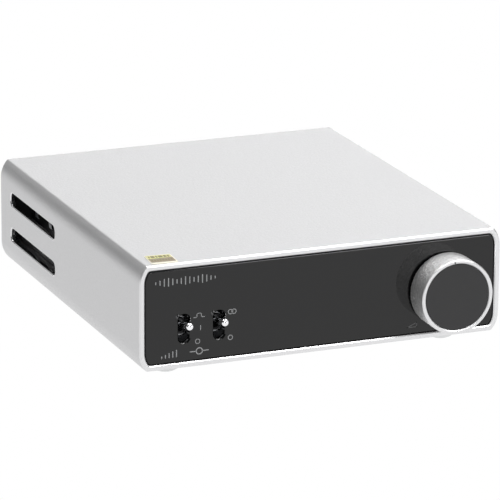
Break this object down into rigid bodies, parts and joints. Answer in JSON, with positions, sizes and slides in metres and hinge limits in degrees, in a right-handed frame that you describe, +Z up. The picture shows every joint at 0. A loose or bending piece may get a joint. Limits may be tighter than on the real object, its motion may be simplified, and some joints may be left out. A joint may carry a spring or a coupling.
{
  "type": "desktop audio amplifier",
  "caption": "Compact desktop audio amplifier: rounded aluminium tube casing, gloss front with volume knob and toggle switches, rear sockets and speaker terminals.",
  "frame": {"origin": "centre of the bounding box, at the bottom of the feet", "axes": "+Z up, the front panel faces -Y, +X to the right as seen from the front"},
  "size_m": [0.15, 0.193, 0.0479],
  "materials": {
    "casing": "bead-blasted, clear anodised",
    "panel": "polished black",
    "bracket": "mill finish",
    "rear_panel": "fine-textured black",
    "screw": "black oxide",
    "foot": "pale silicone",
    "board": "dark solder mask",
    "knob": "fine bead-blasted side, bright-cut front ring",
    "knob_face": "satin black",
    "chrome": "polished",
    "steel": "nickel-plated",
    "plastic": "moulded",
    "black": "moulded",
    "red": "moulded",
    "white": "moulded",
    "brass": "gold-plated",
    "sleeve": "shrink sleeve",
    "heat_sink": "black anodised",
    "foil": "printed metallic foil"
  },
  "bodies": {
    "chassis": {"casing": "casing", "front_panel": "panel", "front_carrier": "bracket", "rear_panel": "rear_panel", "rear_screw_bottom_left": "screw", "rear_screw_bottom_right": "screw", "rear_screw_top_left": "screw", "rear_screw_top_right": "screw", "foot_front_left": "foot", "foot_front_right": "foot", "foot_rear_left": "foot", "foot_rear_right": "foot", "main_board": "board", "output_board": "board", "power_switch_nut": "steel", "input_switch_nut": "steel", "volume_pot_nut": "steel", "balanced_jack_nut_left": "steel", "balanced_jack_nut_right": "steel", "volume_pot": "plastic", "power_switch_body": "plastic", "input_switch_body": "plastic", "balanced_jack_left": "plastic", "balanced_jack_right": "plastic", "dc_inlet": "plastic", "trigger_jack": "plastic", "rca_housing": "plastic", "post_base_left_minus": "black", "post_base_left_plus": "black", "post_base_right_minus": "black", "post_base_right_plus": "black", "amplifier_chip": "black", "output_choke_left": "black", "output_choke_right": "black", "rca_collar_right": "red", "rca_collar_left": "white", "post_stem_left_minus": "brass", "post_stem_left_plus": "brass", "post_stem_right_minus": "brass", "post_stem_right_plus": "brass", "rca_shell_left": "brass", "rca_shell_right": "brass", "reservoir_capacitor_left": "sleeve", "reservoir_capacitor_right": "sleeve", "heat_sink": "heat_sink", "foil_label": "foil"},
    "knob": {"volume_knob": "knob", "knob_face": "knob_face", "knob_set_screw": "screw", "volume_shaft": "steel"},
    "power_bat": {"power_switch_bat": "chrome"},
    "input_bat": {"input_switch_bat": "chrome"},
    "insert_left_minus": {"post_insert_left_minus": "brass"},
    "cap_left_minus": {"post_cap_left_minus": "black"},
    "insert_left_plus": {"post_insert_left_plus": "brass"},
    "cap_left_plus": {"post_cap_left_plus": "red"},
    "insert_right_minus": {"post_insert_right_minus": "brass"},
    "cap_right_minus": {"post_cap_right_minus": "black"},
    "insert_right_plus": {"post_insert_right_plus": "brass"},
    "cap_right_plus": {"post_cap_right_plus": "red"}
  },
  "joints": [
    {"name": "volume_turn", "type": "hinge", "parent": "chassis", "child": "knob", "pos_m": [0.0514, -0.08485, 0.0255], "axis": [0, 1, 0], "range_deg": [-144.3, 155.7]},
    {"name": "power_toggle", "type": "hinge", "parent": "chassis", "child": "power_bat", "pos_m": [-0.05685, -0.07715, 0.0214], "axis": [1, 0, 0], "range_deg": [0, 24.8]},
    {"name": "input_toggle", "type": "hinge", "parent": "chassis", "child": "input_bat", "pos_m": [-0.0425, -0.07715, 0.0214], "axis": [1, 0, 0], "range_deg": [0, 24.8]},
    {"name": "insert_travel_left_minus", "type": "slide", "parent": "chassis", "child": "insert_left_minus", "axis": [0, 1, 0], "range_m": [0, 0.005]},
    {"name": "cap_turn_left_minus", "type": "hinge", "parent": "insert_left_minus", "child": "cap_left_minus", "pos_m": [0, 0.08595, 0.035], "axis": [0, 1, 0], "range_deg": [0, 1800]},
    {"name": "insert_travel_left_plus", "type": "slide", "parent": "chassis", "child": "insert_left_plus", "axis": [0, 1, 0], "range_m": [0, 0.005]},
    {"name": "cap_turn_left_plus", "type": "hinge", "parent": "insert_left_plus", "child": "cap_left_plus", "pos_m": [0.01905, 0.08595, 0.035], "axis": [0, 1, 0], "range_deg": [0, 1800]},
    {"name": "insert_travel_right_minus", "type": "slide", "parent": "chassis", "child": "insert_right_minus", "axis": [0, 1, 0], "range_m": [0, 0.005]},
    {"name": "cap_turn_right_minus", "type": "hinge", "parent": "insert_right_minus", "child": "cap_right_minus", "pos_m": [0.0381, 0.08595, 0.035], "axis": [0, 1, 0], "range_deg": [0, 1800]},
    {"name": "insert_travel_right_plus", "type": "slide", "parent": "chassis", "child": "insert_right_plus", "axis": [0, 1, 0], "range_m": [0, 0.005]},
    {"name": "cap_turn_right_plus", "type": "hinge", "parent": "insert_right_plus", "child": "cap_right_plus", "pos_m": [0.05715, 0.08595, 0.035], "axis": [0, 1, 0], "range_deg": [0, 1800]}
  ],
  "couplings": [
    {"joint": "cap_turn_left_minus", "follows": "insert_travel_left_minus", "rad_per_m": 6283.2},
    {"joint": "cap_turn_left_plus", "follows": "insert_travel_left_plus", "rad_per_m": 6283.2},
    {"joint": "cap_turn_right_minus", "follows": "insert_travel_right_minus", "rad_per_m": 6283.2},
    {"joint": "cap_turn_right_plus", "follows": "insert_travel_right_plus", "rad_per_m": 6283.2}
  ]
}
